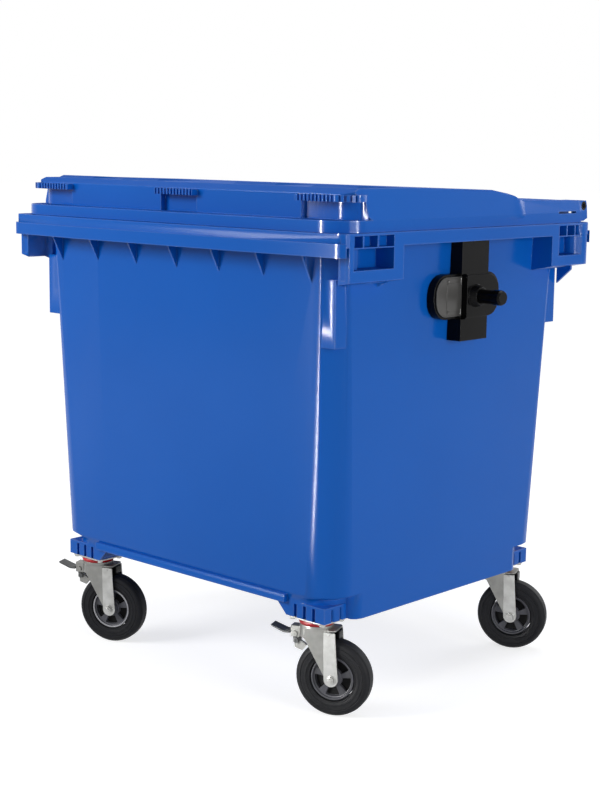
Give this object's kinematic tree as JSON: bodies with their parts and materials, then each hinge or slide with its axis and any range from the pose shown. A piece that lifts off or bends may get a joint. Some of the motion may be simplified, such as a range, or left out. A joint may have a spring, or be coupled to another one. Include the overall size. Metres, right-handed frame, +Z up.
{
  "type": "wheeled waste container",
  "caption": "Large moulded waste container with a hinged flat lid, comb rim, side trunnion pins and swivel casters with foot brakes at the front.",
  "frame": {"origin": "on the ground, midway between the casters' mounting plates", "axes": "+X along the long side towards the right trunnion, -Y towards the comb face, +Z up"},
  "size_m": [1.37, 1.08, 1.346],
  "materials": {
    "blue_plastic": "moulded polyethylene, satin with a fine grain",
    "black_plastic": "black moulded, satin",
    "grey_cover": "satin grey cover",
    "zinc_steel": "zinc plated pressed steel",
    "pedal_metal": "dark grey, satin",
    "red_plastic": "red ring",
    "rim_plastic": "dark moulded rim",
    "tyre": "solid rubber tread"
  },
  "bodies": {
    "tub": {"tub_shell": "blue_plastic", "trunnion_bracket_left": "black_plastic", "trunnion_cover_left": "grey_cover", "trunnion_pin_left": "black_plastic", "trunnion_bracket_right": "black_plastic", "trunnion_cover_right": "grey_cover", "trunnion_pin_right": "black_plastic", "caster_plate_front_left": "zinc_steel", "seal_ring_front_left": "red_plastic", "caster_plate_front_right": "zinc_steel", "seal_ring_front_right": "red_plastic", "caster_plate_rear_left": "zinc_steel", "seal_ring_rear_left": "red_plastic", "caster_plate_rear_right": "zinc_steel", "seal_ring_rear_right": "red_plastic"},
    "lid": {"lid_shell": "blue_plastic", "hinge_pin_left": "zinc_steel", "hinge_pin_right": "zinc_steel", "hinge_cap_left": "black_plastic", "hinge_cap_right": "black_plastic"},
    "swivel_front_left": {"fork_front_left": "zinc_steel", "axle_bolt_front_left": "zinc_steel", "trail_bumper_front_left": "black_plastic", "brake_bracket_front_left": "zinc_steel"},
    "wheel_front_left": {"wheel_rim_front_left": "rim_plastic", "tyre_front_left": "tyre"},
    "brake_front_left": {"brake_pedal_front_left": "pedal_metal", "brake_shoe_front_left": "black_plastic"},
    "swivel_front_right": {"fork_front_right": "zinc_steel", "axle_bolt_front_right": "zinc_steel", "trail_bumper_front_right": "black_plastic", "brake_bracket_front_right": "zinc_steel"},
    "wheel_front_right": {"wheel_rim_front_right": "rim_plastic", "tyre_front_right": "tyre"},
    "brake_front_right": {"brake_pedal_front_right": "pedal_metal", "brake_shoe_front_right": "black_plastic"},
    "swivel_rear_left": {"fork_rear_left": "zinc_steel", "axle_bolt_rear_left": "zinc_steel", "trail_bumper_rear_left": "black_plastic"},
    "wheel_rear_left": {"wheel_rim_rear_left": "rim_plastic", "tyre_rear_left": "tyre"},
    "swivel_rear_right": {"fork_rear_right": "zinc_steel", "axle_bolt_rear_right": "zinc_steel", "trail_bumper_rear_right": "black_plastic"},
    "wheel_rear_right": {"wheel_rim_rear_right": "rim_plastic", "tyre_rear_right": "tyre"}
  },
  "joints": [
    {"name": "lid_hinge", "type": "hinge", "parent": "tub", "child": "lid", "pos_m": [0, 0.507, 1.282], "axis": [-1, 0, 0], "range_deg": [0, 222]},
    {"name": "swivel_turn_front_left", "type": "hinge", "parent": "tub", "child": "swivel_front_left", "pos_m": [-0.432, -0.3887, 0.22], "axis": [0, 0, 1], "continuous": true},
    {"name": "wheel_spin_front_left", "type": "hinge", "parent": "swivel_front_left", "child": "wheel_front_left", "pos_m": [-0.38598, -0.36916, 0.1], "axis": [-0.3907, 0.9205, 0], "continuous": true},
    {"name": "brake_press_front_left", "type": "hinge", "parent": "swivel_front_left", "child": "brake_front_left", "pos_m": [-0.48263, -0.41019, 0.206], "axis": [0.3907, -0.9205, 0], "range_deg": [0, 10]},
    {"name": "swivel_turn_front_right", "type": "hinge", "parent": "tub", "child": "swivel_front_right", "pos_m": [0.432, -0.3887, 0.22], "axis": [0, 0, 1], "continuous": true},
    {"name": "wheel_spin_front_right", "type": "hinge", "parent": "swivel_front_right", "child": "wheel_front_right", "pos_m": [0.47802, -0.36916, 0.1], "axis": [-0.3907, 0.9205, 0], "continuous": true},
    {"name": "brake_press_front_right", "type": "hinge", "parent": "swivel_front_right", "child": "brake_front_right", "pos_m": [0.38137, -0.41019, 0.206], "axis": [0.3907, -0.9205, 0], "range_deg": [0, 10]},
    {"name": "swivel_turn_rear_left", "type": "hinge", "parent": "tub", "child": "swivel_rear_left", "pos_m": [-0.432, 0.3887, 0.22], "axis": [0, 0, 1], "continuous": true},
    {"name": "wheel_spin_rear_left", "type": "hinge", "parent": "swivel_rear_left", "child": "wheel_rear_left", "pos_m": [-0.38598, 0.40824, 0.1], "axis": [-0.3907, 0.9205, 0], "continuous": true},
    {"name": "swivel_turn_rear_right", "type": "hinge", "parent": "tub", "child": "swivel_rear_right", "pos_m": [0.432, 0.3887, 0.22], "axis": [0, 0, 1], "continuous": true},
    {"name": "wheel_spin_rear_right", "type": "hinge", "parent": "swivel_rear_right", "child": "wheel_rear_right", "pos_m": [0.47802, 0.40824, 0.1], "axis": [-0.3907, 0.9205, 0], "continuous": true}
  ]
}
